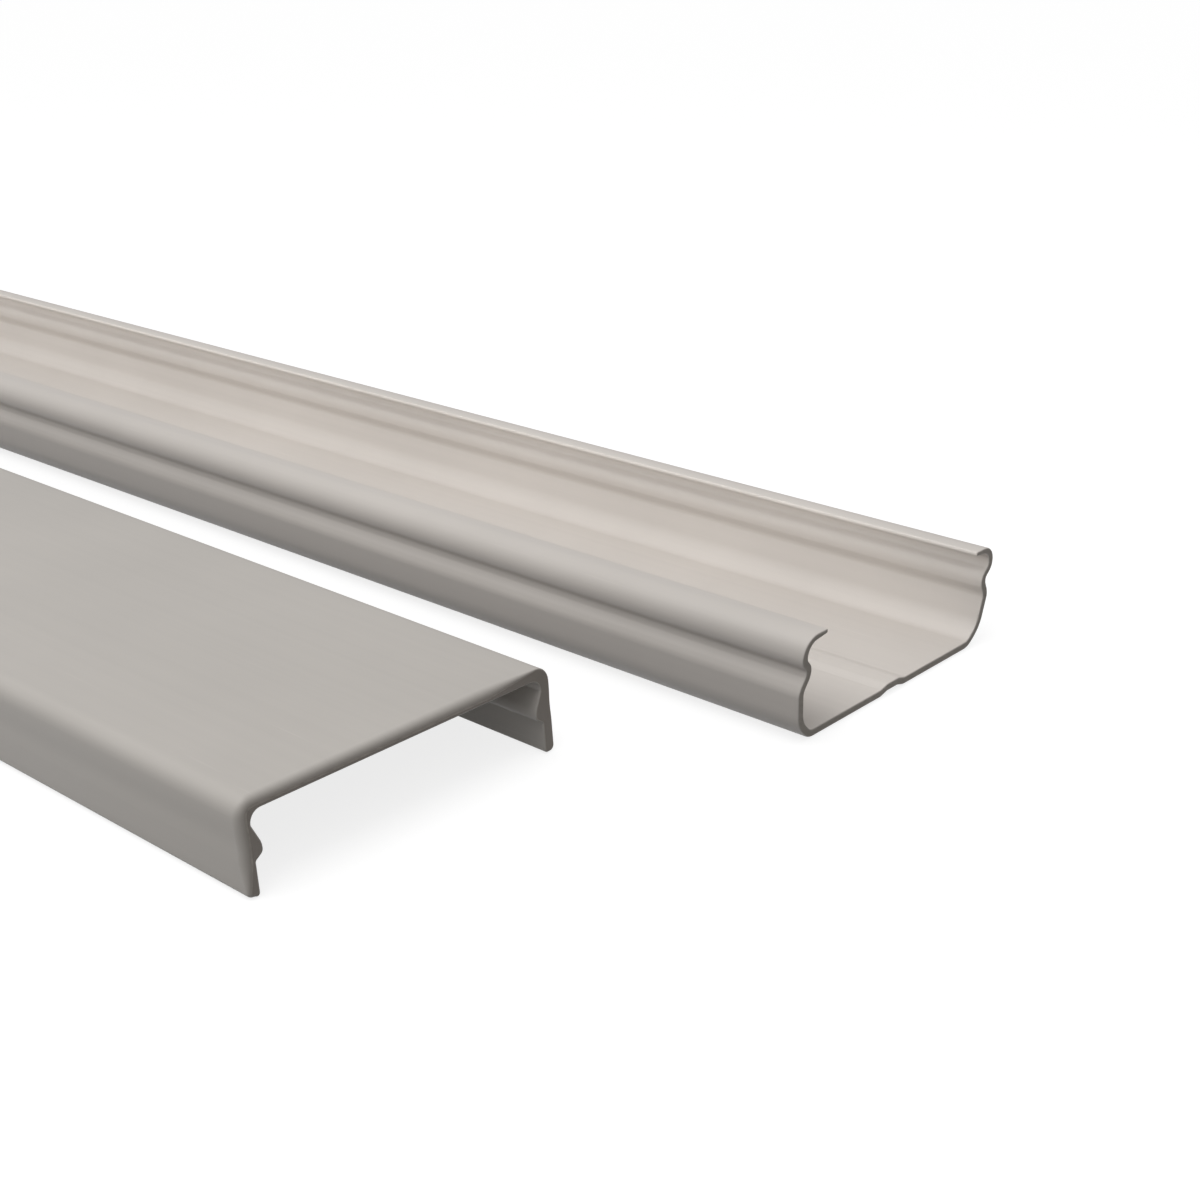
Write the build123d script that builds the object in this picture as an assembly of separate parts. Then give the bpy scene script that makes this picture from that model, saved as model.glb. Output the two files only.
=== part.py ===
from build123d import *
from math import radians, tan
import os

# Cord cover raceway: a rigid plastic channel that is fixed to a wall or skirting, and the
# cover that clips over it and closes it. The two lengths of stock lie side by side, cover
# taken off. Millimetres. +X runs along the stock, +Y from the cover to the channel, +Z up.
# The origin is on the floor, in the middle of the area that the pair covers.

# Stock, and how the two lengths lie
stock_length = 1524.0
pair_gap = 23.5
end_stagger = 28.0

# Channel: a wall of one thickness that follows a bent line, and thins along its lips. Its
# outside is widest at the ledge and at the shoulder, with the snap groove between them. The
# insets and depths are measured in from there.
channel_width = 52.8
channel_wall = 1.3
lip_tip_wall = 0.7
floor_inset = 4.1
corner_inset = 0.8
slope_depth = 1.2
groove_depth = 1.5
lip_reach = 5.7

# Channel: heights, each measured up from the bend below it
corner_height = 3.1
ledge_rise = 5.5
slope_rise = 2.3
groove_rise = 1.4
shoulder_rise = 1.5
lip_rise = 4.0

# Channel: the radius on the inside of each bend, and the rounding of the lip's tip
floor_bend = 0.7
corner_bend = 1.3
ledge_bend = 0.8
slope_bend = 0.6
groove_bend = 0.3
shoulder_bend = 0.4
lip_bend = 2.1
lip_tip_round = 0.3

# Channel: the rib along the middle of the floor, pressed up from the underside
rib_rise = 0.5
rib_top_width = 3.0
rib_flank = 1.8
rib_bend = 0.9

# Cover
cover_top = 1.8
cover_leg = 1.9
leg_clearance = 0.1
leg_length = 11.7
inner_corner = 1.8
outer_corner = 2.5
foot_edge = 0.5

# Cover: the snap bead along the inside of each leg. The channel's groove sets its height.
bead_proud = 1.35
bead_crest = 1.0
bead_ramp = 2.9
bead_undercut = 0.9
bead_ramp_round = 1.6
bead_undercut_round = 0.9
bead_blend = 0.4
snap_play = 0.1

# The ends towards +X are saw cuts a little off square: the channel's top edge and the
# cover's feet stand ahead. The other ends are square.
channel_cut_lean = 5.1
cover_cut_lean = 4.6

# Heights of the channel's bends above the floor
ledge_height = corner_height + ledge_rise
slope_height = ledge_height + slope_rise
groove_height = slope_height + groove_rise
shoulder_height = groove_height + shoulder_rise
channel_height = shoulder_height + lip_rise

# How the cover fits the channel
cover_inner_half = channel_width / 2 + leg_clearance
cover_half_width = cover_inner_half + cover_leg
cover_height = leg_length + cover_top
bead_height = leg_length - (channel_height - groove_height) + snap_play

# Where the two lengths lie
pair_width = 2 * cover_half_width + pair_gap + channel_width
cover_middle = -pair_width / 2 + cover_half_width
channel_middle = pair_width / 2 - channel_width / 2
channel_front = (stock_length + end_stagger) / 2
cover_front = channel_front - end_stagger

# Neighbouring roundings share at most this much of the straight run between them
run_share = 0.98

os.makedirs("parts", exist_ok=True)


def rounded_line(corners, radii):
    """A bent line with its corners rounded. Where two roundings would meet, both get smaller."""
    runs = [end - start for start, end in zip(corners, corners[1:])]
    turns = [before.get_angle(after) for before, after in zip(runs, runs[1:])]
    taken = [radius * tan(radians(turn / 2)) for radius, turn in zip(radii, turns)]
    room = [
        run_share * run.length / max(before + after, run.length * run_share)
        for run, before, after in zip(runs, [0] + taken, taken + [0])
    ]
    fitted = [radius * min(before, after) for radius, before, after in zip(radii, room, room[1:])]
    return FilletPolyline(*corners, radius=fitted)


def channel_half_line():
    """Points and inside radii of the wall's middle line, from mid-floor out and up to the lip."""
    half_wall = channel_wall / 2
    side = channel_width / 2 - half_wall
    top = channel_height - half_wall
    points = [
        Vector(0, half_wall + rib_rise),
        Vector(rib_top_width / 2, half_wall + rib_rise),
        Vector(rib_top_width / 2 + rib_flank, half_wall),
        Vector(channel_width / 2 - floor_inset, half_wall),
        Vector(side - corner_inset, corner_height),
        Vector(side, ledge_height),
        Vector(side - slope_depth, slope_height),
        Vector(side - groove_depth, groove_height),
        Vector(side, shoulder_height),
        Vector(side, top),
        Vector(channel_width / 2 - lip_reach, top),
    ]
    bends = [
        rib_bend,
        rib_bend,
        floor_bend,
        corner_bend,
        ledge_bend,
        slope_bend,
        groove_bend,
        shoulder_bend,
        lip_bend,
    ]
    return points, bends


def wall_face(points, bends, shift):
    """Corners and radii of the face that stands this far to the left of a bent middle line."""
    runs = [(end - start).normalized() for start, end in zip(points, points[1:])]
    normals = [Vector(-run.Y, run.X) for run in runs]
    corners = [points[0] + normals[0] * shift]
    radii = []
    for corner, bend, before, after, run in zip(points[1:], bends, normals, normals[1:], runs[1:]):
        corners.append(corner + (before + after) * (shift / (1 + before.dot(after))))
        is_inside = run.dot(before) * shift > 0
        radii.append(bend if is_inside else bend + channel_wall)
    corners.append(points[-1] + normals[-1] * shift)
    return corners, radii


def both_halves(corners, radii):
    """A section whose half has this outline, which starts and ends on the middle."""
    half_line = rounded_line(corners, radii)
    half = make_face(half_line.edges() + Line(corners[-1], corners[0]).edges())
    return half + mirror(half, about=Plane.YZ)


def channel_section():
    """The channel's section: a wall along the middle line, with lips that thin to rounded tips."""
    points, bends = channel_half_line()
    outside, outside_radii = wall_face(points, bends, -channel_wall / 2)
    inside, inside_radii = wall_face(points, bends, channel_wall / 2)
    inside[-1] = outside[-1] - Vector(0, lip_tip_wall)
    tip_radii = [lip_tip_round, lip_tip_round]
    return both_halves(outside + inside[::-1], outside_radii + tip_radii + inside_radii[::-1])


def cover_section():
    """The cover's section: a flat top, two legs and a snap bead inside each leg."""
    crest_low = bead_height - bead_crest / 2
    crest_high = bead_height + bead_crest / 2
    corners = [
        Vector(0, cover_height),
        Vector(cover_half_width, cover_height),
        Vector(cover_half_width, 0),
        Vector(cover_inner_half, 0),
        Vector(cover_inner_half, crest_low - bead_undercut),
        Vector(cover_inner_half - bead_proud, crest_low),
        Vector(cover_inner_half - bead_proud, crest_high),
        Vector(cover_inner_half, crest_high + bead_ramp),
        Vector(cover_inner_half, leg_length),
        Vector(0, leg_length),
    ]
    radii = [
        outer_corner,
        foot_edge,
        foot_edge,
        bead_blend,
        bead_undercut_round,
        bead_ramp_round,
        bead_blend,
        inner_corner,
    ]
    return both_halves(corners, radii)


def stock_piece(section, middle):
    """A length of stock drawn out along X from its section, with its front end at X = 0."""
    section_plane = Plane(origin=(-stock_length, middle, 0), x_dir=(0, 1, 0), z_dir=(1, 0, 0))
    return extrude(section_plane * section, amount=stock_length)


def saw_front(piece, height, lean):
    """Cut the front end on a plane through its edge at this height, leaning by these degrees."""
    cut = Plane(origin=(0, 0, height), x_dir=(0, 1, 0), z_dir=(1, 0, 0)).rotated((0, lean, 0))
    return split(piece, bisect_by=cut, keep=Keep.BOTTOM)


def base_channel():
    """The channel, cut so that its top edge stands ahead."""
    stock = stock_piece(channel_section(), channel_middle)
    return Pos(channel_front, 0, 0) * saw_front(stock, channel_height, channel_cut_lean)


def snap_cover():
    """The cover, cut so that its feet stand ahead."""
    stock = stock_piece(cover_section(), cover_middle)
    return Pos(cover_front, 0, 0) * saw_front(stock, 0, -cover_cut_lean)


for name, piece in {"base_channel": base_channel(), "snap_cover": snap_cover()}.items():
    export_step(piece, f"parts/{name}.step")
    print(name, len(piece.solids()), round(piece.volume, 1), piece.bounding_box())
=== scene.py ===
# %% [markdown]
# Cord cover raceway, finished in Blender
#
# The object is a length of two-piece raceway: a shallow plastic channel that is fixed to a wall,
# and the cover that clips over it, taken off and lying beside it. Both are rigid PVC, pushed hot
# through a steel die and sawn to length, so each has one section from end to end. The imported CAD
# model gives the real size and place of the two. This script redraws their skins with rounder
# bends and softened saw cuts, gives them a finish, and sets the camera, the light and the floor.

import math
from collections import namedtuple

import bpy
from mathutils import Matrix, Vector


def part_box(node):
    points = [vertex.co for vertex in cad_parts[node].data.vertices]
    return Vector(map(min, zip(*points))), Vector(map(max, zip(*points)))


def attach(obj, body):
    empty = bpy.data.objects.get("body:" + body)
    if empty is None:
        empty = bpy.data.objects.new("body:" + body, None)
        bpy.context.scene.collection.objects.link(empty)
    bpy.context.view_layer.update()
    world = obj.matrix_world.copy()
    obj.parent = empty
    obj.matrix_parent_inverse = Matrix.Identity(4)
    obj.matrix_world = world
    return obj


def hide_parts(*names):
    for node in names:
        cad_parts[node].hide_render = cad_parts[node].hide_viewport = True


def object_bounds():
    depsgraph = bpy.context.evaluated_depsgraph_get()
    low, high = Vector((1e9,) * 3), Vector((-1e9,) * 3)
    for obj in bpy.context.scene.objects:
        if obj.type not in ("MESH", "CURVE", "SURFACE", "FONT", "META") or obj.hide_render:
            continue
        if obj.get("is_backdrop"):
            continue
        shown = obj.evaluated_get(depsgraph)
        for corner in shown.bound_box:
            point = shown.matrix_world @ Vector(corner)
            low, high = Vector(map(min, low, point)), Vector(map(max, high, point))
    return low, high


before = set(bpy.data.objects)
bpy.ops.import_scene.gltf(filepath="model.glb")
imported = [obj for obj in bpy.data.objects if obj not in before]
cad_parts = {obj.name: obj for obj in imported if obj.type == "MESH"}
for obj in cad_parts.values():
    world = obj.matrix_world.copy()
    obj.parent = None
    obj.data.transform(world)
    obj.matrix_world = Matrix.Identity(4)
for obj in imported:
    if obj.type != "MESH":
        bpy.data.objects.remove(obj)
cad_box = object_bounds()
print("CAD nodes:", sorted(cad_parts))

# %% [markdown]
# Units and colours
#
# Sizes of an extrusion are easiest to read in millimetres, and Blender works in metres here, so
# one factor turns them. Colours are written as the hex values that a paint chart or a picture
# editor would show. A shader mixes light, which adds up in linear values, so one function turns
# them.

# %% Units and colours
MM = 0.001


def linear_colour(hex_colour):
    """An sRGB hex colour as the linear RGBA that a shader takes."""
    channels = [int(hex_colour[i:i + 2], 16) / 255 for i in (1, 3, 5)]
    linear = [c / 12.92 if c <= 0.04045 else ((c + 0.055) / 1.055) ** 2.4 for c in channels]
    return (*linear, 1.0)


white = linear_colour("#ffffff")
print("#808080 gives back", round(linear_colour("#808080")[0], 3), "of the light")

# %% [markdown]
# Adding a node
#
# Geometry, materials and the world are all trees of nodes. One function adds a node to any of
# them, sets its properties, and fills its inputs or links them. A node that is given as an input
# stands for its first output, which is nearly always the one wanted, and keeps the recipes short.

# %% Add a node
def add_node(tree, kind, inputs=None, **settings):
    """Add a node. Its inputs are values, sockets, or nodes, which stand for their first output."""
    node = tree.nodes.new(kind)
    for name, value in settings.items():
        setattr(node, name, value)
    for key, value in (inputs or {}).items():
        source = value.outputs[0] if isinstance(value, bpy.types.Node) else value
        if isinstance(source, bpy.types.NodeSocket):
            tree.links.new(source, node.inputs[key])
        else:
            node.inputs[key].default_value = source
    return node


# %% [markdown]
# The camera
#
# The picture is taken from in front of the cut ends and a little above, with a lens somewhat
# longer than normal. Its place and turn were worked out from the vanishing points of the long
# edges and from the outlines of the two ends. An azimuth, an elevation and a roll describe the
# turn, because they can be read: swing to the left of +Y, look down, tip the horizon slightly.

# %% Camera
camera_place = Vector((917.51, -187.56, 123.79)) * MM
camera_azimuth = math.radians(42.014)
camera_elevation = math.radians(22.154)
camera_roll = math.radians(-0.483)
camera_lens, camera_sensor = 55.394, 36.0

camera_data = bpy.data.cameras.new("photo_camera")
camera_data.lens = camera_lens
camera_data.sensor_width = camera_sensor
camera_data.sensor_height = camera_sensor
camera_data.clip_start = 10 * MM
camera = bpy.data.objects.new("photo_camera", camera_data)
swing = Matrix.Rotation(camera_azimuth, 4, "Z")
look_down = Matrix.Rotation(math.pi / 2 - camera_elevation, 4, "X")
tip = Matrix.Rotation(camera_roll, 4, "Z")
camera.matrix_world = Matrix.Translation(camera_place) @ swing @ look_down @ tip
bpy.context.scene.collection.objects.link(camera)
bpy.context.scene.camera = camera
print("camera", camera_lens, "mm, at", [round(v, 3) for v in camera_place])

# %% [markdown]
# Corners of a section
#
# A section is drawn as a closed loop of corners. Each says how far across and how high it is, the
# radius of the bend there, and how far the saw cut is softened there, which the sweep uses later.
# Both pieces are symmetric, so only one half is stated. The widths and heights come from the CAD
# boxes, and everything else is measured in and up from there, in millimetres.

# %% Corners, halves and the size of a section
Corner = namedtuple("Corner", "across up bend soft")


def both_halves(near_half, far_half):
    """A closed outline from its two halves. The near one is mirrored to the other side."""
    mirrored = [corner._replace(across=-corner.across) for corner in near_half]
    return mirrored + far_half[::-1]


def section_size(node):
    """Width and height of a CAD node, in millimetres."""
    low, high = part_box(node)
    return round((high.y - low.y) / MM, 3), round((high.z - low.z) / MM, 3)


channel_width, channel_height = section_size("base_channel")
cover_width, cover_height = section_size("snap_cover")
print("channel", channel_width, "x", channel_height, "cover", cover_width, "x", cover_height)

# %% [markdown]
# Both faces of a bent wall
#
# The channel is one wall that is bent several times, like folded sheet. It could be drawn as a
# closed outline, but its thickness would then be hidden in pairs of points. It is easier to state
# the middle of the wall once and to work out both faces: each corner moves along the mitre of its
# two neighbours. A bend keeps its radius on the inside and gains the wall on the outside.

# %% One face of a bent wall
def wall_face(middle_line, shift, wall):
    """The face this far to the left of a middle line: the place and radius of each bend."""
    points = [Vector(place) for *place, _ in middle_line]
    bends = [bend for *_, bend in middle_line]
    runs = [(end - start).normalized() for start, end in zip(points, points[1:])]
    normals = [Vector((-run.y, run.x)) for run in runs]
    turns = zip(points[1:], bends[1:], normals, normals[1:], runs[1:])
    face = []
    for point, bend, before, after, run in turns:
        mitre = (before + after) * (shift / (1 + before.dot(after)))
        is_inside = run.dot(before) * shift > 0
        face.append((point + mitre, bend if is_inside else bend + wall))
    face.append((points[-1] + normals[-1] * shift, bends[-1]))
    return face


square_bend = [(0, 0, 0), (10, 0, 2), (10, 10, 0)]
for side, shift in (("inside", 0.5), ("outside", -0.5)):
    place, radius = wall_face(square_bend, shift, 1)[0]
    print(side, "of a 1 mm wall bent to 2 mm: corner at", tuple(place), "radius", radius)

# %% [markdown]
# The channel's section
#
# From the middle of the floor outwards: a low rib, the flat floor that lies on the wall, a
# chamfered corner, and a side that leans out to a ledge. Above the ledge it swells over into a
# slope, which leads in to the groove that the cover's bead snaps into. Then come a shoulder and a
# lip that curls inwards to hold the cords and thins towards its tip. The bends are drawn a little
# rounder than in the CAD model, because their highlights are what the eye reads on an extrusion.

# %% Sizes of the channel
channel_wall, lip_tip_wall = 1.3, 0.7
rib_rise, rib_top_width, rib_flank = 0.5, 3.0, 1.8
floor_inset, corner_inset, lip_reach = 4.1, 0.8, 5.7
swell_depth, slope_depth, groove_depth = 0.4, 1.2, 1.5
corner_height, ledge_height, swell_height, slope_height = 3.1, 8.6, 9.6, 10.9
groove_height, shoulder_height = 12.3, 13.8
rib_bend, floor_bend, corner_bend = 0.9, 2.0, 4.5
ledge_bend, swell_bend, slope_bend = 1.4, 1.6, 0.9
groove_bend, shoulder_bend, lip_bend, lip_tip_round = 0.9, 1.2, 2.1, 0.3
channel_soft = 0.22
print("the groove is", groove_depth, "mm deep, and lies", groove_height, "mm up")

# %% Outline of the channel
def channel_half():
    """Corners of half the channel: out along its outside, round the lip and back inside."""
    half_wall = channel_wall / 2
    side = channel_width / 2 - half_wall
    top = channel_height - half_wall
    middle_line = [
        (0, half_wall + rib_rise, 0),
        (rib_top_width / 2, half_wall + rib_rise, rib_bend),
        (rib_top_width / 2 + rib_flank, half_wall, rib_bend),
        (channel_width / 2 - floor_inset, half_wall, floor_bend),
        (side - corner_inset, corner_height, corner_bend),
        (side, ledge_height, ledge_bend),
        (side - swell_depth, swell_height, swell_bend),
        (side - slope_depth, slope_height, slope_bend),
        (side - groove_depth, groove_height, groove_bend),
        (side, shoulder_height, shoulder_bend),
        (side, top, lip_bend),
        (channel_width / 2 - lip_reach, top, lip_tip_round),
    ]
    outside = wall_face(middle_line, -half_wall, channel_wall)
    inside = wall_face(middle_line, half_wall, channel_wall)
    tip, tip_round = outside[-1]
    inside[-1] = (tip - Vector((0, lip_tip_wall)), tip_round)
    return [Corner(*place, bend, channel_soft) for place, bend in outside + inside[::-1]]


channel_outline = both_halves(channel_half(), channel_half())
print("channel outline:", len(channel_outline), "corners")

# %% [markdown]
# The cover's section
#
# A flat top with two legs. Inside each leg runs a bead with a long ramp above it and a short one
# below, which rides over the channel's shoulder and drops into its groove. Its nose is round, and
# so is the outer edge of the foot. Plastic draws in a little as it cools opposite such a bead, so
# the outside of the leg has a very shallow hollow there, which shows as a darker line above a
# lighter one.

# %% Sizes of the cover
cover_top, cover_leg, snap_play = 1.8, 1.9, 0.1
inner_corner, outer_corner, foot_edge, foot_round = 1.8, 2.5, 0.5, 0.9
bead_proud, bead_crest, bead_ramp, bead_undercut = 1.35, 1.2, 2.9, 0.9
bead_ramp_round, bead_undercut_round, bead_blend = 3.0, 0.95, 0.4
sink_rise, sink_half, sink_depth, sink_bend = 1.0, 2.2, 0.12, 18.0
cover_half_width = cover_width / 2
cover_inner_half = cover_half_width - cover_leg
leg_length = cover_height - cover_top
bead_height = leg_length - (channel_height - groove_height) + snap_play
print("each leg clears the channel by", round(cover_inner_half - channel_width / 2, 3), "mm")

# %% [markdown]
# How the saw cuts are softened
#
# A fresh cut has a crisp edge. This cover has been handled: its cut is rubbed down along the top
# and the near leg, and is left crisp at the far leg, so the rubbing fades out over the last
# 12 mm of the top. At the foot it stays smaller than the foot's own rounding, because a softening
# larger than the bend that it goes round would fold over itself.

# %% Outline of the cover
crisp_edge, rubbed_edge, rubbed_foot, rub_fade = 0.22, 1.4, 0.6, 12.0


def cover_half(leg_soft):
    """Corners of half the cover, from its underside round the leg to its outer top corner."""
    crest = cover_inner_half - bead_proud
    crest_low, crest_high = bead_height - bead_crest / 2, bead_height + bead_crest / 2
    sink_middle = bead_height + sink_rise
    inside = [
        (cover_inner_half, leg_length, inner_corner),
        (cover_inner_half, crest_high + bead_ramp, bead_blend),
        (crest, crest_high, bead_ramp_round),
        (crest, crest_low, bead_undercut_round),
        (cover_inner_half, crest_low - bead_undercut, bead_blend),
        (cover_inner_half, 0, foot_edge),
    ]
    foot = Corner(cover_half_width, 0, foot_round, min(leg_soft, rubbed_foot))
    outside = [
        (cover_half_width, sink_middle - sink_half, sink_bend),
        (cover_half_width - sink_depth, sink_middle, sink_bend),
        (cover_half_width, sink_middle + sink_half, sink_bend),
        (cover_half_width, cover_height, outer_corner),
    ]
    leg = [Corner(*corner, leg_soft) for corner in outside]
    return [Corner(*corner, crisp_edge) for corner in inside] + [foot] + leg


rub_end = Corner(cover_half_width - rub_fade, cover_height, 0.0, rubbed_edge)
cover_outline = both_halves(cover_half(rubbed_edge), cover_half(crisp_edge) + [rub_end])
print("cover outline:", len(cover_outline), "corners")

# %% [markdown]
# A length of stock as a tree of geometry nodes
#
# Both pieces are a section drawn out along a line, so one tree makes both. It rounds the corners
# of the outline, sweeps it, and then sets every point by rule. The same could be done by hand
# with loop cuts and a bevel, but a rule can be changed and rerun. The tree's inputs are the sizes
# that differ between the pieces, and the fineness of the mesh.

# %% Inputs of the stock tree
STOCK_INPUTS = {
    "Length": "NodeSocketFloat",
    "Front": "NodeSocketFloat",
    "Middle": "NodeSocketFloat",
    "Cut lean": "NodeSocketFloat",
    "Cut height": "NodeSocketFloat",
    "Bend steps": "NodeSocketInt",
    "Soft steps": "NodeSocketInt",
    "Spans": "NodeSocketInt",
    "Run spacing": "NodeSocketFloat",
    "Skin": "NodeSocketMaterial",
    "Saw cut": "NodeSocketMaterial",
}
tree = bpy.data.node_groups.new("stock_length", "GeometryNodeTree")
tree.interface.new_socket(name="Corners", in_out="INPUT", socket_type="NodeSocketGeometry")
stock_sockets = {
    name: tree.interface.new_socket(name=name, in_out="INPUT", socket_type=kind).identifier
    for name, kind in STOCK_INPUTS.items()
}
tree.interface.new_socket(name="Piece", in_out="OUTPUT", socket_type="NodeSocketGeometry")
given = add_node(tree, "NodeGroupInput").outputs
print("stock tree inputs:", ", ".join(stock_sockets))

# %% [markdown]
# The section
#
# The corner loop becomes a curve whose corners are rounded by their own radius. Its straight runs
# get a point every few millimetres, so that later steps have something to move. Each point's
# place in the section is kept aside, because the sweep lays the section on its side.

# %% Round the outline and divide its straight runs
bend = add_node(tree, "GeometryNodeInputNamedAttribute", {"Name": "bend"}, data_type="FLOAT")
corner_line = add_node(tree, "GeometryNodeMeshToCurve", {"Mesh": given["Corners"]})
rounded = add_node(tree, "GeometryNodeFilletCurve", {
    "Curve": corner_line, "Count": given["Bend steps"], "Radius": bend, "Limit Radius": True},
    mode="POLY")
here = add_node(tree, "GeometryNodeInputPosition")
next_point = add_node(tree, "GeometryNodeOffsetPointInCurve", {"Offset": 1}).outputs["Point Index"]
there = add_node(tree, "GeometryNodeFieldAtIndex", {"Index": next_point, "Value": here},
                 data_type="FLOAT_VECTOR")
gap = add_node(tree, "ShaderNodeVectorMath", {0: here, 1: there}, operation="DISTANCE")
cuts = add_node(tree, "ShaderNodeMath", {0: gap.outputs["Value"], 1: given["Run spacing"]},
                operation="DIVIDE")
section = add_node(tree, "GeometryNodeSubdivideCurve", {"Curve": rounded, "Cuts": cuts})
profile = add_node(tree, "GeometryNodeCaptureAttribute", {"Geometry": section})
profile.capture_items.new("VECTOR", "Place")
tree.links.new(here.outputs[0], profile.inputs["Place"])
print("stock tree, with the section:", len(tree.nodes), "nodes")

# %% [markdown]
# The rings
#
# The section is swept along a line of points, and each makes a ring of the mesh. Rings crowd
# together within the softened edge of each end, where they follow a quarter circle. Three numbers
# say where a ring belongs. Along runs from 0 to 1 over the length between the softened edges. Out
# is 1 at the front cut, 0 in between and -1 at the back cut. In is 1 at both cuts and 0 between.

# %% How far each ring is along, out and in
quarter_turn = math.pi / 2
soft_steps, spans = given["Soft steps"], given["Spans"]
last_soft = add_node(tree, "ShaderNodeMath", {0: soft_steps, 1: spans}, operation="ADD")
last_ring = add_node(tree, "ShaderNodeMath", {0: last_soft, 1: soft_steps}, operation="ADD")
ring = add_node(tree, "GeometryNodeInputIndex")
along = add_node(tree, "ShaderNodeMapRange", {
    "Value": ring, "From Min": soft_steps, "From Max": last_soft, "To Min": 0.0, "To Max": 1.0})
front_angle = add_node(tree, "ShaderNodeMapRange", {
    "Value": ring, "From Min": 0.0, "From Max": soft_steps,
    "To Min": 0.0, "To Max": quarter_turn})
back_angle = add_node(tree, "ShaderNodeMapRange", {
    "Value": ring, "From Min": last_soft, "From Max": last_ring,
    "To Min": quarter_turn, "To Max": 0.0})
front_cos, front_sin, back_cos, back_sin = [
    add_node(tree, "ShaderNodeMath", {0: angle}, operation=wave)
    for angle in (front_angle, back_angle) for wave in ("COSINE", "SINE")]
out = add_node(tree, "ShaderNodeMath", {0: front_cos, 1: back_cos}, operation="SUBTRACT")
both_sin = add_node(tree, "ShaderNodeMath", {0: front_sin, 1: back_sin}, operation="ADD")
inward = add_node(tree, "ShaderNodeMath", {0: 2.0, 1: both_sin}, operation="SUBTRACT")
print("stock tree, with the numbers of a ring:", len(tree.nodes), "nodes")

# %% Sweep the section along the line of rings
merge_distance = 0.001 * MM
ring_count = add_node(tree, "ShaderNodeMath", {0: last_ring, 1: 1.0}, operation="ADD")
line = add_node(tree, "GeometryNodeCurvePrimitiveLine", {"End": (-1.0, 0.0, 0.0)})
line_of_rings = add_node(tree, "GeometryNodeResampleCurve", {"Curve": line, "Count": ring_count})
rings = add_node(tree, "GeometryNodeCaptureAttribute", {"Geometry": line_of_rings})
for name, field in {"Along": along, "Out": out, "In": inward}.items():
    rings.capture_items.new("FLOAT", name)
    tree.links.new(field.outputs[0], rings.inputs[name])
drawn = add_node(tree, "GeometryNodeCurveToMesh", {
    "Curve": rings, "Profile Curve": profile, "Fill Caps": True})
swept = add_node(tree, "GeometryNodeMergeByDistance", {
    "Geometry": drawn, "Distance": merge_distance})
print("stock tree, with the sweep:", len(tree.nodes), "nodes")

# %% [markdown]
# From rings to a sawn length
#
# Every point now gets its real place. A ring of the front edge stands back from the cut by its
# share of the softening, a ring of the back edge likewise, and the others are spread over the
# length that is left. The front end also leans, because the saw stood off square: a point moves
# along by its height above or below the cut's foremost edge, less and less towards the back.

# %% Place the points along the length
soft = add_node(tree, "GeometryNodeInputNamedAttribute", {"Name": "soft"}, data_type="FLOAT")
place = add_node(tree, "ShaderNodeSeparateXYZ", {0: profile.outputs["Place"]}).outputs
ring_along, ring_out, ring_in = [rings.outputs[name] for name in ("Along", "Out", "In")]
clear_length = add_node(tree, "ShaderNodeMath", {0: soft, 1: -2.0, 2: given["Length"]},
                        operation="MULTIPLY_ADD")
from_front = add_node(tree, "ShaderNodeMath", {0: ring_along, 1: clear_length},
                      operation="MULTIPLY")
edge_share = add_node(tree, "ShaderNodeMath", {0: ring_out, 1: 1.0}, operation="SUBTRACT")
edge_reach = add_node(tree, "ShaderNodeMath", {0: edge_share, 1: soft, 2: given["Front"]},
                      operation="MULTIPLY_ADD")
square_x = add_node(tree, "ShaderNodeMath", {0: edge_reach, 1: from_front}, operation="SUBTRACT")
above_cut = add_node(tree, "ShaderNodeMath", {0: place["Y"], 1: given["Cut height"]},
                     operation="SUBTRACT")
lean = add_node(tree, "ShaderNodeMath", {0: above_cut, 1: given["Cut lean"]},
                operation="MULTIPLY")
nearness = add_node(tree, "ShaderNodeMath", {0: 1.0, 1: ring_along}, operation="SUBTRACT")
leaned_x = add_node(tree, "ShaderNodeMath", {0: lean, 1: nearness, 2: square_x},
                    operation="MULTIPLY_ADD")
across = add_node(tree, "ShaderNodeMath", {0: place["X"], 1: given["Middle"]}, operation="ADD")
point = add_node(tree, "ShaderNodeCombineXYZ", {"X": leaned_x, "Y": across, "Z": place["Y"]})
stretched = add_node(tree, "GeometryNodeSetPosition", {"Geometry": swept, "Position": point})
print("stock tree, with the length:", len(tree.nodes), "nodes")

# %% Pull the edges in, and note how far round the softened edge each point is
facing = add_node(tree, "GeometryNodeInputNormal")
sideways = add_node(tree, "ShaderNodeVectorMath", {0: facing, 1: (0.0, -1.0, -1.0)},
                    operation="MULTIPLY")
into_wall = add_node(tree, "ShaderNodeVectorMath", {0: sideways}, operation="NORMALIZE")
pull = add_node(tree, "ShaderNodeMath", {0: ring_in, 1: soft}, operation="MULTIPLY")
pull_in = add_node(tree, "ShaderNodeVectorMath", {0: into_wall, "Scale": pull}, operation="SCALE")
softened = add_node(tree, "GeometryNodeSetPosition", {"Geometry": stretched, "Offset": pull_in})
# edge_turn also sets how much painted shade the skin colour gets at the softened cut edges.
marked = add_node(tree, "GeometryNodeStoreNamedAttribute", {
    "Geometry": softened, "Name": "edge_turn", "Value": ring_in},
    data_type="FLOAT", domain="POINT")
print("stock tree, with the softened edges:", len(tree.nodes), "nodes")

# %% [markdown]
# Two finishes on one mesh
#
# A face that looks within ten degrees of straight along the length belongs to a saw cut. It is
# shaded flat and gets the cut's material. All others are skin and are shaded smooth.

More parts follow.
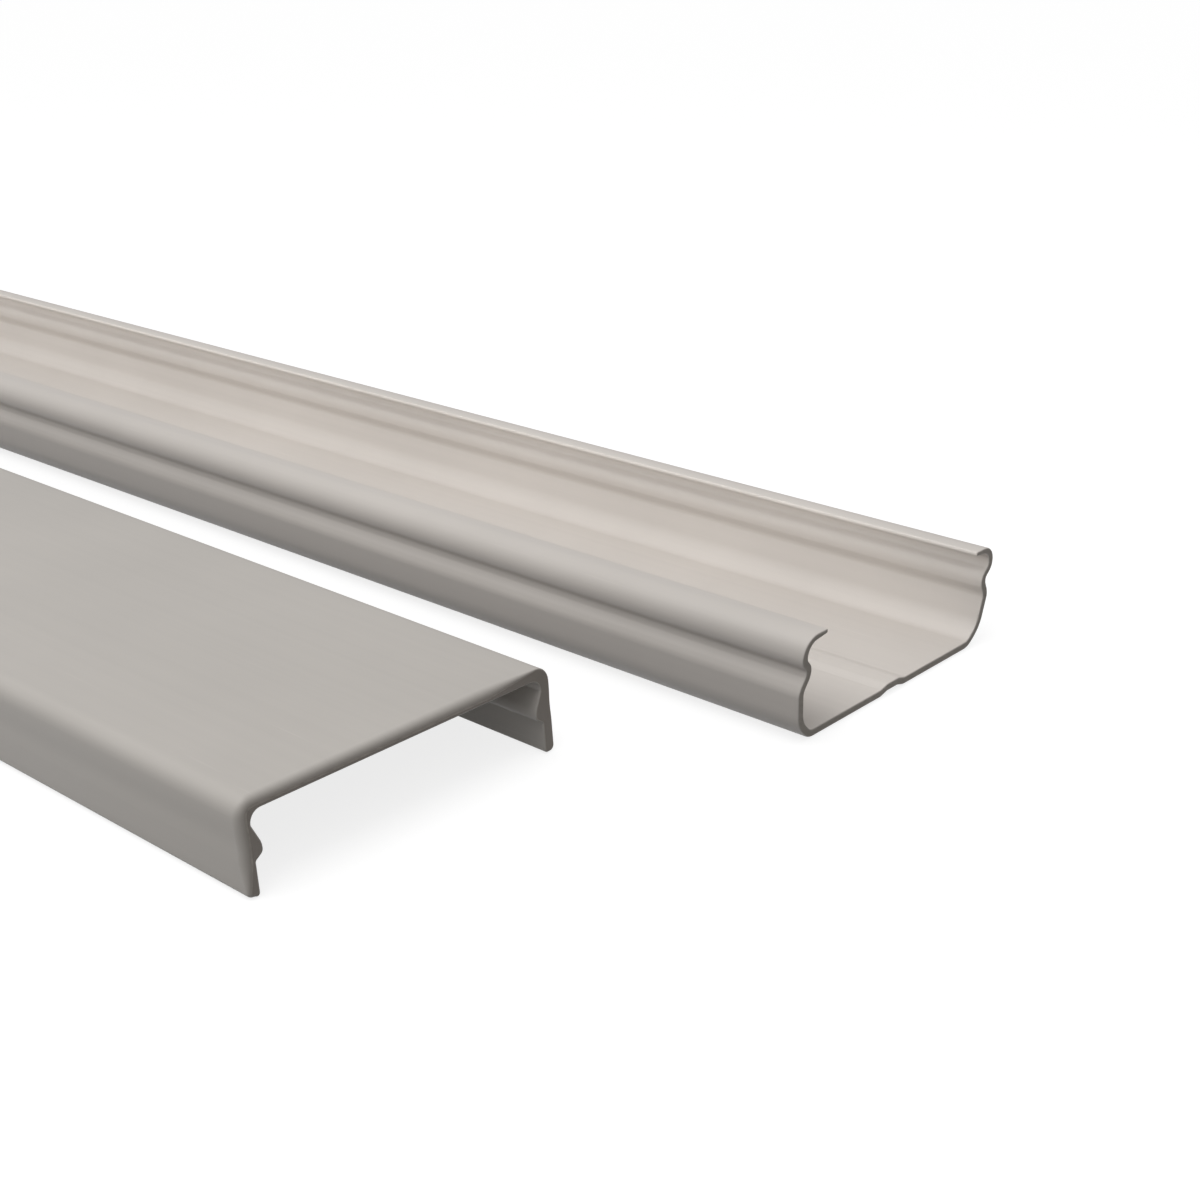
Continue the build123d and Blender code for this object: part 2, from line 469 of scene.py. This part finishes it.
# %% Shade, give both materials and close the tree
cut_facing = 0.985
facing_x = add_node(tree, "ShaderNodeSeparateXYZ", {0: facing}).outputs["X"]
end_on = add_node(tree, "ShaderNodeMath", {0: facing_x}, operation="ABSOLUTE")
is_cut = add_node(tree, "ShaderNodeMath", {0: end_on, 1: cut_facing}, operation="GREATER_THAN")
is_skin = add_node(tree, "ShaderNodeMath", {0: 1.0, 1: is_cut}, operation="SUBTRACT")
shaded = add_node(tree, "GeometryNodeSetShadeSmooth", {
    "Geometry": marked, "Shade Smooth": is_skin})
realized = add_node(tree, "GeometryNodeRealizeInstances", {"Geometry": shaded})
skinned = add_node(tree, "GeometryNodeSetMaterial", {
    "Geometry": realized, "Material": given["Skin"]})
finished = add_node(tree, "GeometryNodeSetMaterial", {
    "Geometry": skinned, "Selection": is_cut, "Material": given["Saw cut"]})
add_node(tree, "NodeGroupOutput", {"Piece": finished})
print("stock tree, closed:", len(tree.nodes), "nodes")

# %% [markdown]
# A material to fill
#
# Every material here starts as an empty tree. The patterns are noises, which mostly keep to the
# middle of their range from 0 to 1, so one pair of numbers says where that middle begins and ends.

# %% An empty material
noise_low, noise_high = 0.3, 0.7


def empty_material(name):
    """A new material and its tree, with no nodes in it yet."""
    material = bpy.data.materials.new(name)
    material.use_nodes = True
    material.node_tree.nodes.clear()
    return material, material.node_tree


print("noise between", noise_low, "and", noise_high, "fills a pattern's range")

# %% [markdown]
# Extruded rigid PVC: its colour
#
# Rigid PVC leaves the die with a satin skin. The die leaves faint lines that run the whole
# length, and the colour drifts by a few percent in patches. Object coordinates carry both,
# since a die line is simply a place in the section, and squeezing them along X draws the lines
# out. Real die lines are some tenths of a millimetre apart, which is too fine to show here, so
# they are drawn about a millimetre apart.

# %% Die lines and drift
die_line_spacing, die_line_length = 1.1 * MM, 275 * MM
drift_size, drift_share = 34 * MM, 0.65


def die_lines(nodes, place, seed):
    """Noise that is fine across the section and drawn out along the length."""
    drawn_out = add_node(nodes, "ShaderNodeMapping", {
        "Vector": place, "Scale": (die_line_spacing / die_line_length, 1.0, 1.0)})
    return add_node(nodes, "ShaderNodeTexNoise", {
        "Vector": drawn_out, "W": seed, "Scale": 1 / die_line_spacing, "Detail": 2.0},
        noise_dimensions="4D")


def tone_pattern(nodes, place, lines, seed):
    """The die lines and the patchy drift, mixed into one pattern."""
    drift = add_node(nodes, "ShaderNodeTexNoise", {
        "Vector": place, "W": seed, "Scale": 1 / drift_size, "Detail": 3.0},
        noise_dimensions="4D")
    line_tone = add_node(nodes, "ShaderNodeMath", {0: lines, 1: 1 - drift_share},
                         operation="MULTIPLY")
    return add_node(nodes, "ShaderNodeMath", {0: drift, 1: drift_share, 2: line_tone},
                    operation="MULTIPLY_ADD")


print("die lines every", round(die_line_spacing / MM, 2), "mm")

# %% [markdown]
# Extruded rigid PVC: scratches, and painted shade at the cut edges
#
# Handling adds short pale scratches, mostly along the length. At the softened edges of the saw
# cuts the skin is darkened as painted shade, because those edges turn away from the light: the
# number that the stock tree stored for each point, from 0 on the skin to 1 at the cut, blends
# the shade in.

# %% Scratches
scratch_length, scratch_width = 22 * MM, 0.4 * MM
scratch_begins, scratch_full, scratch_paleness = 0.70, 0.80, 0.06


def scratches(nodes, place, seed):
    """Short pale strokes along the length, where a stretched noise peaks."""
    stroke = add_node(nodes, "ShaderNodeMapping", {
        "Vector": place, "Scale": (1 / scratch_length, 1 / scratch_width, 1 / scratch_width)})
    noise = add_node(nodes, "ShaderNodeTexNoise", {
        "Vector": stroke, "W": seed, "Scale": 1.0, "Detail": 1.0}, noise_dimensions="4D")
    return add_node(nodes, "ShaderNodeMapRange", {
        "Value": noise, "From Min": scratch_begins, "From Max": scratch_full,
        "To Min": 0.0, "To Max": scratch_paleness})


print("scratches", round(scratch_length / MM, 1), "mm long,", round(scratch_width / MM, 2), "wide")

# %% Colour of the skin
darkest_tone, palest_tone = 0.955, 1.045
# A painted shade colour: the softened cut edges are darkened towards it because they turn away from the
# light.
painted_edge_shade = "#7d766f"


def skin_colour(nodes, place, tone, hex_colour, seed):
    """The colour, shifted by the tone and the scratches, and darkened at the cut edges by painted
    shade.
    """
    shift = add_node(nodes, "ShaderNodeMapRange", {
        "Value": tone, "From Min": noise_low, "From Max": noise_high,
        "To Min": darkest_tone, "To Max": palest_tone})
    brightness = add_node(nodes, "ShaderNodeMath", {0: shift, 1: scratches(nodes, place, seed)},
                          operation="ADD")
    clean = add_node(nodes, "ShaderNodeVectorMath", {
        0: linear_colour(hex_colour)[:3], "Scale": brightness}, operation="SCALE")
    edge_turn = add_node(nodes, "ShaderNodeAttribute", attribute_name="edge_turn").outputs["Fac"]
    # Painted shade: the skin colour is mixed towards a darker one as the edge turns to the cut.
    return add_node(nodes, "ShaderNodeMixRGB", {
        "Fac": edge_turn, "Color1": clean, "Color2": linear_colour(painted_edge_shade)})


print("the tone runs from", darkest_tone, "to", palest_tone, "and to", painted_edge_shade, "at a cut")

# %% [markdown]
# Extruded rigid PVC: its gloss and relief
#
# The index of refraction of PVC is about 1.53, and its satin skin is never a mirror: it scatters
# light at a roughness of about 0.4 to 0.5, which follows the same pattern as the tone. The die
# lines and a fine grain stand up from it by a hundredth of a millimetre or two. The grain too is
# drawn coarser than the real one, to show. Each piece has a colour and a seed of its own, because
# the channel and the cover come from different dies and batches.

# %% PVC skin
PVC_IOR = 1.53
smoothest_skin, roughest_skin = 0.40, 0.50
die_line_depth, die_line_strength = 0.02 * MM, 0.35
grain_size, grain_depth, grain_strength = 0.45 * MM, 0.01 * MM, 0.25


def pvc_skin(name, hex_colour, seed):
    """Satin extruded PVC, with die lines, a drift of tone, scratches and painted shade at the cut
    edges.
    """
    material, nodes = empty_material(name)
    place = add_node(nodes, "ShaderNodeTexCoord").outputs["Object"]
    lines = die_lines(nodes, place, seed)
    tone = tone_pattern(nodes, place, lines, seed)
    gloss = add_node(nodes, "ShaderNodeMapRange", {
        "Value": tone, "From Min": noise_low, "From Max": noise_high,
        "To Min": smoothest_skin, "To Max": roughest_skin})
    line_bump = add_node(nodes, "ShaderNodeBump", {
        "Strength": die_line_strength, "Distance": die_line_depth, "Height": lines})
    grain = add_node(nodes, "ShaderNodeTexNoise", {
        "Vector": place, "W": seed, "Scale": 1 / grain_size, "Detail": 1.0},
        noise_dimensions="4D")
    grain_bump = add_node(nodes, "ShaderNodeBump", {
        "Strength": grain_strength, "Distance": grain_depth, "Height": grain,
        "Normal": line_bump})
    shader = add_node(nodes, "ShaderNodeBsdfPrincipled", {
        "Base Color": skin_colour(nodes, place, tone, hex_colour, seed), "Roughness": gloss,
        "IOR": PVC_IOR, "Normal": grain_bump})
    add_node(nodes, "ShaderNodeOutputMaterial", {"Surface": shader})
    return material


channel_skin = pvc_skin("extruded_pvc_channel", "#cbc5bf", 3.0)
cover_skin = pvc_skin("extruded_pvc_cover", "#bbb6b0", 11.0)
print("skins:", channel_skin.name, cover_skin.name)

# %% [markdown]
# The saw cut
#
# A fine-toothed blade leaves the end matt and grimy, with close parallel scores. Real ones are
# finer than the render can show, so they are drawn about a millimetre apart. The blade came down
# at a slant, so the scores slant across the wall too. The wave texture multiplies its coordinate
# by 20, so its scale is worked out from that. The cut's colour is darker than the skins partly
# for that grime and partly as painted shade, because the cut ends face away from the light.

# %% Saw-cut PVC
saw_score_spacing, saw_score_depth, saw_score_strength = 0.987 * MM, 0.05 * MM, 0.5
saw_slant, saw_wander = math.radians(24), 2.0
grime_size, darkest_grime, palest_grime = 2.2 * MM, 0.86, 1.04
cut_roughness = 0.72
wave_factor = 20


def saw_cut(name, hex_colour):
    """A matt cut face with the close scores of a saw blade."""
    material, nodes = empty_material(name)
    place = add_node(nodes, "ShaderNodeTexCoord").outputs["Object"]
    slanted = add_node(nodes, "ShaderNodeMapping", {
        "Vector": place, "Rotation": (saw_slant, 0.0, 0.0)})
    scores = add_node(nodes, "ShaderNodeTexWave", {
        "Vector": slanted, "Scale": 2 * math.pi / (wave_factor * saw_score_spacing),
        "Distortion": saw_wander, "Detail": 2.0, "Detail Scale": 1.5}, bands_direction="Z")
    grime = add_node(nodes, "ShaderNodeTexNoise", {
        "Vector": place, "Scale": 1 / grime_size, "Detail": 3.0})
    shift = add_node(nodes, "ShaderNodeMapRange", {
        "Value": grime, "From Min": noise_low, "From Max": noise_high,
        "To Min": darkest_grime, "To Max": palest_grime})
    colour = add_node(nodes, "ShaderNodeVectorMath", {
        0: linear_colour(hex_colour)[:3], "Scale": shift}, operation="SCALE")
    bump = add_node(nodes, "ShaderNodeBump", {
        "Strength": saw_score_strength, "Distance": saw_score_depth,
        "Height": scores.outputs["Fac"]})
    shader = add_node(nodes, "ShaderNodeBsdfPrincipled", {
        "Base Color": colour, "Roughness": cut_roughness, "IOR": PVC_IOR, "Normal": bump})
    add_node(nodes, "ShaderNodeOutputMaterial", {"Surface": shader})
    return material


# The cut's colour is darker than the skins partly for grime and partly as painted shade, for ends that
# face away from the light.
cut_end_with_shade = saw_cut("saw_cut_pvc_with_painted_shade", "#a39c94")
print("cut:", cut_end_with_shade.name)

# %% [markdown]
# Draw out the two pieces
#
# The CAD boxes say where each piece ends and where its middle is. The outline becomes a small
# mesh of corners that carries the bend and the softening of each, and the tree does the rest. Its
# result is turned into a plain mesh, because an exported model has no modifiers.

# %% From an outline to a mesh of its corners
def corner_mesh(name, outline):
    """The outline's corners as a closed loop of edges, with their bend and softening."""
    mesh = bpy.data.meshes.new(name)
    loop = [(i, (i + 1) % len(outline)) for i in range(len(outline))]
    points = [(corner.across * MM, corner.up * MM, 0.0) for corner in outline]
    mesh.from_pydata(points, loop, [])
    for attribute in ("bend", "soft"):
        values = mesh.attributes.new(attribute, "FLOAT", "POINT")
        values.data.foreach_set("value", [getattr(corner, attribute) * MM for corner in outline])
    return mesh


print("one piece starts from", len(channel_outline), "corners, the other", len(cover_outline))

# %% From corners to a length of stock
bend_steps, soft_steps_at_cut, length_spans = 7, 8, 40
run_spacing = 2.0 * MM


def stock_piece(name, node, outline, cut_lean, cut_height, skin):
    """Sweep an outline to the length of its CAD node, as a plain mesh."""
    low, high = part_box(node)
    piece = bpy.data.objects.new(name, corner_mesh(name, outline))
    bpy.context.scene.collection.objects.link(piece)
    modifier = piece.modifiers.new("stock_length", "NODES")
    modifier.node_group = tree
    values = {
        "Length": high.x - low.x, "Front": high.x, "Middle": (low.y + high.y) / 2,
        "Cut lean": math.tan(cut_lean), "Cut height": cut_height * MM,
        "Bend steps": bend_steps, "Soft steps": soft_steps_at_cut, "Spans": length_spans,
        "Run spacing": run_spacing, "Skin": skin, "Saw cut": cut_end_with_shade,
    }
    for socket, value in values.items():
        modifier[stock_sockets[socket]] = value
    graph = bpy.context.evaluated_depsgraph_get()
    solid = bpy.data.meshes.new_from_object(piece.evaluated_get(graph), depsgraph=graph)
    piece.modifiers.remove(modifier)
    piece.data = solid
    solid.name = name
    print(name, len(solid.vertices), "points,", len(solid.polygons), "faces")
    return piece


# %% [markdown]
# The two cuts
#
# The channel's top edge stands ahead, by 5.1 degrees over its height. The cover's feet stand
# ahead, by 4.6 degrees the other way. The cut height is the height of that foremost edge. Each
# piece then takes the place of its CAD node and rides on the same body.

# %% Make the channel and the cover
BODY = "root"
channel_cut_lean, cover_cut_lean = math.radians(5.1), math.radians(-4.6)
channel = stock_piece("channel", "base_channel", channel_outline,
                      channel_cut_lean, channel_height, channel_skin)
cover = stock_piece("cover", "snap_cover", cover_outline, cover_cut_lean, 0.0, cover_skin)
for piece, node, slot in (
        (channel, "base_channel", "channel_plastic"), (cover, "snap_cover", "cover_plastic")):
    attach(piece, BODY)
    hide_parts(node)

# %% [markdown]
# The floor
#
# The picture has a clean white ground. A floor that is really white would throw light up at the
# sides of the pieces and flatten them, so this one is dark to the light and white to the camera.
# It glows a little less than white and reflects the rest, which keeps a pale shadow on it.

# %% Floor
floor_size, floor_drop = 8.0, 0.2 * MM
floor_bounce, floor_pale, floor_glow = "#595959", "#959595", 0.80

floor_mesh = bpy.data.meshes.new("floor")
half = floor_size / 2
floor_corners = [(-half, -half), (half, -half), (half, half), (-half, half)]
floor_mesh.from_pydata([(x, y, -floor_drop) for x, y in floor_corners], [], [(0, 1, 2, 3)])
floor = bpy.data.objects.new("floor", floor_mesh)
bpy.context.scene.collection.objects.link(floor)
floor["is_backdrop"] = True

floor_paint, nodes = empty_material("floor_paint")
rays = add_node(nodes, "ShaderNodeLightPath").outputs
seen = add_node(nodes, "ShaderNodeMath", {0: rays["Is Camera Ray"], 1: rays["Is Glossy Ray"]},
                operation="MAXIMUM")
seen_too = add_node(nodes, "ShaderNodeMath", {0: seen, 1: rays["Is Transmission Ray"]},
                    operation="MAXIMUM")
bounce = add_node(nodes, "ShaderNodeBsdfDiffuse", {"Color": linear_colour(floor_bounce)})
pale = add_node(nodes, "ShaderNodeBsdfDiffuse", {"Color": linear_colour(floor_pale)})
glow = add_node(nodes, "ShaderNodeEmission", {"Color": white, "Strength": floor_glow})
shown = add_node(nodes, "ShaderNodeAddShader", {0: pale, 1: glow})
ground = add_node(nodes, "ShaderNodeMixShader", {0: seen_too, 1: bounce, 2: shown})
add_node(nodes, "ShaderNodeOutputMaterial", {"Surface": ground})
floor_mesh.materials.append(floor_paint)
print("floor", floor_size, "m wide, paint", floor_paint.name)

# %% [markdown]
# The room
#
# Soft light comes from all round, as in a photographer's tent. It is brightest overhead, a
# little towards the far ends and the cover's side, and dims towards the cut ends, so that the
# tops stay pale and the ends go dark. The camera sees the room as plain white, while the satin
# skin mirrors the room's own light.

# %% World
brightest_way = Vector((-0.4, -0.36, 0.85)).normalized()
dimmest_reach, dimmest_light, brightest_light = -0.6, 0.16, 0.82

world = bpy.data.worlds.new("soft_room")
bpy.context.scene.world = world
world.use_nodes = True
nodes = world.node_tree
nodes.nodes.clear()
rays = add_node(nodes, "ShaderNodeLightPath").outputs
seen = add_node(nodes, "ShaderNodeMath", {
    0: rays["Is Camera Ray"], 1: rays["Is Transmission Ray"]}, operation="MAXIMUM")
way = add_node(nodes, "ShaderNodeTexCoord").outputs["Generated"]
reach = add_node(nodes, "ShaderNodeVectorMath", {0: way, 1: brightest_way},
                 operation="DOT_PRODUCT")
room_light = add_node(nodes, "ShaderNodeMapRange", {
    "Value": reach.outputs["Value"], "From Min": dimmest_reach, "From Max": 1.0,
    "To Min": dimmest_light, "To Max": brightest_light})
room = add_node(nodes, "ShaderNodeBackground", {"Color": white, "Strength": room_light})
backdrop = add_node(nodes, "ShaderNodeBackground", {"Color": white, "Strength": 1.0})
sky = add_node(nodes, "ShaderNodeMixShader", {0: seen, 1: room, 2: backdrop})
add_node(nodes, "ShaderNodeOutputWorld", {"Surface": sky})
print("room light from", dimmest_light, "to", brightest_light)

# %% [markdown]
# The lamps
#
# A wide soft panel hangs close above the near ends, a little on the cover's side, and picks the
# rounded edges out. The channel's far wall faces it too but stands deep behind its own near wall,
# so a slim strip lamp just above that wall, which shines across the trough, fills it. The strip
# ends soon after the cut, so that the trough darkens slightly there. It stands in for light from
# a large room, so it has no reflection of its own.

# %% A flat soft lamp
def area_lamp(name, place, target, length, width, watts):
    """A flat soft lamp that looks at a target and isn't seen by the camera."""
    data = bpy.data.lights.new(name, "AREA")
    data.shape = "RECTANGLE"
    data.size, data.size_y = length, width
    data.energy = watts
    lamp = bpy.data.objects.new(name, data)
    turn = (target - place).to_track_quat("-Z", "Y").to_matrix().to_4x4()
    lamp.matrix_world = Matrix.Translation(place) @ turn
    lamp.visible_camera = False
    bpy.context.scene.collection.objects.link(lamp)
    print(name, "at", [round(v, 3) for v in place], "with", round(watts, 2), "W")
    return lamp


# %% Panel above the near ends
panel_size, panel_distance, panel_watts = 0.36, 0.45, 0.72
panel_elevation = math.radians(72)
panel_target = Vector((0.70, -0.02, 0.0))
panel_way = Vector((0.0, -math.cos(panel_elevation), math.sin(panel_elevation)))
area_lamp("front_panel", panel_target + panel_way * panel_distance, panel_target,
          panel_size, panel_size, panel_watts)

# %% Strip along the trough
strip_back, strip_front, strip_width = -0.90, 0.80, 12 * MM
strip_up, strip_inset, strip_tilt = 36 * MM, 0.8 * MM, math.radians(15)
strip_watts_per_metre = 0.165
near_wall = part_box("base_channel")[0].y
strip_length = strip_front - strip_back
strip_place = Vector(((strip_back + strip_front) / 2, near_wall + strip_inset, strip_up))
strip_way = Vector((0.0, math.cos(strip_tilt), math.sin(strip_tilt)))
strip = area_lamp("trough_strip", strip_place, strip_place + strip_way,
                  strip_length, strip_width, strip_watts_per_metre * strip_length)
strip.visible_glossy = False

# %% Colour management
bpy.context.scene.view_settings.view_transform = "Standard"
print("view transform:", bpy.context.scene.view_settings.view_transform)

# %% The sizes of both boxes, and how far apart their corners are
visual_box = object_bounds()
sizes = {"cad": [list(corner) for corner in cad_box], "visual": [list(corner) for corner in visual_box]}
for corner_cad, corner_visual in zip(*sizes.values()):
    print("box corner, mm:", [round((v - c) / MM, 3) for c, v in zip(corner_cad, corner_visual)])
